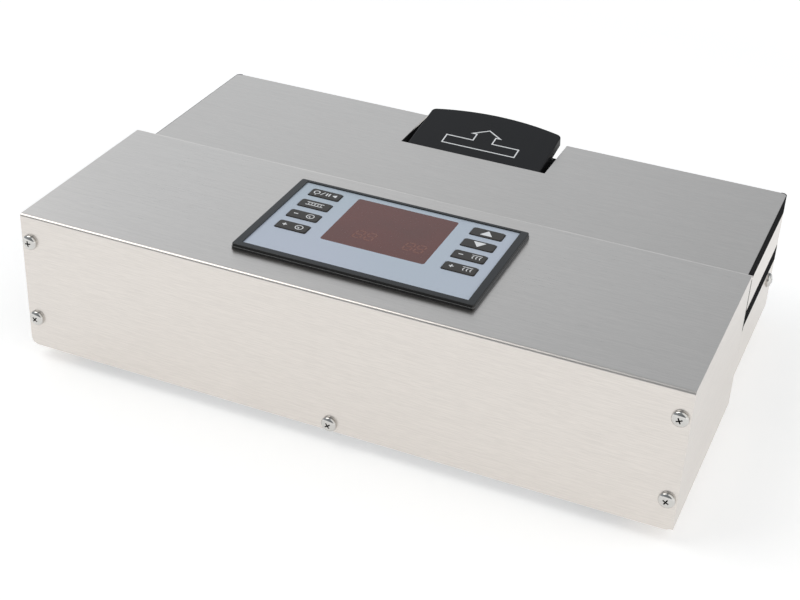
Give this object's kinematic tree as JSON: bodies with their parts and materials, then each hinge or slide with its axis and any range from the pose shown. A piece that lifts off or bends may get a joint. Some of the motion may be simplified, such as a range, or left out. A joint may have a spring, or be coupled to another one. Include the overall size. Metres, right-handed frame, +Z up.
{
  "type": "vacuum sealer",
  "caption": "Countertop vacuum sealer: folded steel housing with a key panel and display window, and a hinged sealing lid with a sprung press handle.",
  "frame": {"origin": "on the worktop, under the middle of the outline", "axes": "+X along the sealing bar, -Y to the side where the bag goes in, +Z up"},
  "size_m": [0.406, 0.2695, 0.1035],
  "materials": {
    "steel": "brushed along the length",
    "screw_steel": "bright",
    "zinc_steel": "zinc plated",
    "black_plastic": "satin",
    "charcoal_plastic": "satin",
    "key_plastic": "satin",
    "overlay_film": "satin print",
    "window_acrylic": "tinted gloss",
    "gasket_rubber": "matt",
    "silicone": "matt",
    "nonstick_cloth": "satin",
    "bar_aluminium": "machined",
    "element_alloy": "rolled",
    "motor_steel": "drawn",
    "core_iron": "varnished",
    "winding_tape": "taped",
    "circuit_board": "solder resist",
    "component_plastic": "moulded",
    "valve_metal": "painted",
    "contact_brass": "bright",
    "switch_plastic": "gloss"
  },
  "bodies": {
    "base": {"board_components": "component_plastic", "board_standoffs": "black_plastic", "chamber_ports": "black_plastic", "chassis_pan": "zinc_steel", "control_bezel": "charcoal_plastic", "control_overlay": "overlay_film", "cover_screws": "screw_steel", "digit_display": "component_plastic", "display_board": "circuit_board", "display_window": "window_acrylic", "foot_screws": "screw_steel", "front_shell": "steel", "heat_sink": "bar_aluminium", "heating_element": "element_alloy", "hinge_arms": "zinc_steel", "inlet_blades": "contact_brass", "left_side_panel": "steel", "lid_switch": "black_plastic", "lower_deck": "black_plastic", "lower_gasket": "gasket_rubber", "mains_inlet": "black_plastic", "nonstick_tape": "nonstick_cloth", "power_board": "circuit_board", "pump_base": "zinc_steel", "pump_grommets": "gasket_rubber", "pump_head": "bar_aluminium", "pump_motor": "motor_steel", "rear_cover": "steel", "release_valve": "valve_metal", "right_side_panel": "steel", "rubber_feet": "gasket_rubber", "seal_bar": "bar_aluminium", "side_screws": "screw_steel", "switch_housing": "black_plastic", "transformer_core": "core_iron", "transformer_strap": "zinc_steel", "transformer_winding": "winding_tape", "vacuum_hoses": "silicone"},
    "lid": {"lid_top_plate": "steel", "lid_frame": "black_plastic", "lid_pan": "black_plastic", "lid_skirt": "steel", "upper_gasket": "gasket_rubber", "pressure_strip": "silicone", "hinge_pins": "screw_steel", "handle_pin": "screw_steel", "handle_springs": "screw_steel"},
    "handle": {"press_handle": "black_plastic"},
    "key_down": {"key_down": "key_plastic"},
    "key_seal": {"key_seal": "key_plastic"},
    "key_seal_less": {"key_seal_less": "key_plastic"},
    "key_seal_more": {"key_seal_more": "key_plastic"},
    "key_start": {"key_start": "key_plastic"},
    "key_up": {"key_up": "key_plastic"},
    "key_vacuum_less": {"key_vacuum_less": "key_plastic"},
    "key_vacuum_more": {"key_vacuum_more": "key_plastic"},
    "rocker": {"power_rocker": "switch_plastic"},
    "rotor": {"pump_rotor": "component_plastic"},
    "switch_plunger": {"lid_switch_plunger": "switch_plastic"},
    "valve_plug": {"valve_plunger": "valve_metal"}
  },
  "joints": [
    {"name": "lid_hinge", "type": "hinge", "parent": "base", "child": "lid", "pos_m": [0, -0.01, 0.085], "axis": [-1, 0, 0], "range_deg": [0, 80]},
    {"name": "handle_press", "type": "hinge", "parent": "lid", "child": "handle", "pos_m": [0, -0.0863, 0.0866], "axis": [1, 0, 0], "range_deg": [0, 9.5], "stiffness_Nm_per_rad": 0.3, "springref_deg": -8.59, "deforming": ["handle_springs"]},
    {"name": "key_down_press", "type": "slide", "parent": "base", "child": "key_down", "axis": [0, 0, -1], "range_m": [0, 0.0005], "stiffness_N_per_m": 500, "springref_m": -0.0004},
    {"name": "key_seal_press", "type": "slide", "parent": "base", "child": "key_seal", "axis": [0, 0, -1], "range_m": [0, 0.0005], "stiffness_N_per_m": 500, "springref_m": -0.0004},
    {"name": "key_seal_less_press", "type": "slide", "parent": "base", "child": "key_seal_less", "axis": [0, 0, -1], "range_m": [0, 0.0005], "stiffness_N_per_m": 500, "springref_m": -0.0004},
    {"name": "key_seal_more_press", "type": "slide", "parent": "base", "child": "key_seal_more", "axis": [0, 0, -1], "range_m": [0, 0.0005], "stiffness_N_per_m": 500, "springref_m": -0.0004},
    {"name": "key_start_press", "type": "slide", "parent": "base", "child": "key_start", "axis": [0, 0, -1], "range_m": [0, 0.0005], "stiffness_N_per_m": 500, "springref_m": -0.0004},
    {"name": "key_up_press", "type": "slide", "parent": "base", "child": "key_up", "axis": [0, 0, -1], "range_m": [0, 0.0005], "stiffness_N_per_m": 500, "springref_m": -0.0004},
    {"name": "key_vacuum_less_press", "type": "slide", "parent": "base", "child": "key_vacuum_less", "axis": [0, 0, -1], "range_m": [0, 0.0005], "stiffness_N_per_m": 500, "springref_m": -0.0004},
    {"name": "key_vacuum_more_press", "type": "slide", "parent": "base", "child": "key_vacuum_more", "axis": [0, 0, -1], "range_m": [0, 0.0005], "stiffness_N_per_m": 500, "springref_m": -0.0004},
    {"name": "power_rocker_tilt", "type": "hinge", "parent": "base", "child": "rocker", "pos_m": [0.1972, 0.1, 0.07], "axis": [0, 0, -1], "range_deg": [0, 20]},
    {"name": "pump_spin", "type": "hinge", "parent": "base", "child": "rotor", "pos_m": [-0.1, 0.062, 0.048], "axis": [1, 0, 0], "continuous": true},
    {"name": "lid_switch_press", "type": "slide", "parent": "base", "child": "switch_plunger", "axis": [0, 0, -1], "range_m": [0, 0.0015], "stiffness_N_per_m": 200, "springref_m": -0.0005},
    {"name": "valve_pull", "type": "slide", "parent": "base", "child": "valve_plug", "axis": [-1, 0, 0], "range_m": [0, 0.002], "stiffness_N_per_m": 200, "springref_m": -0.0005}
  ]
}
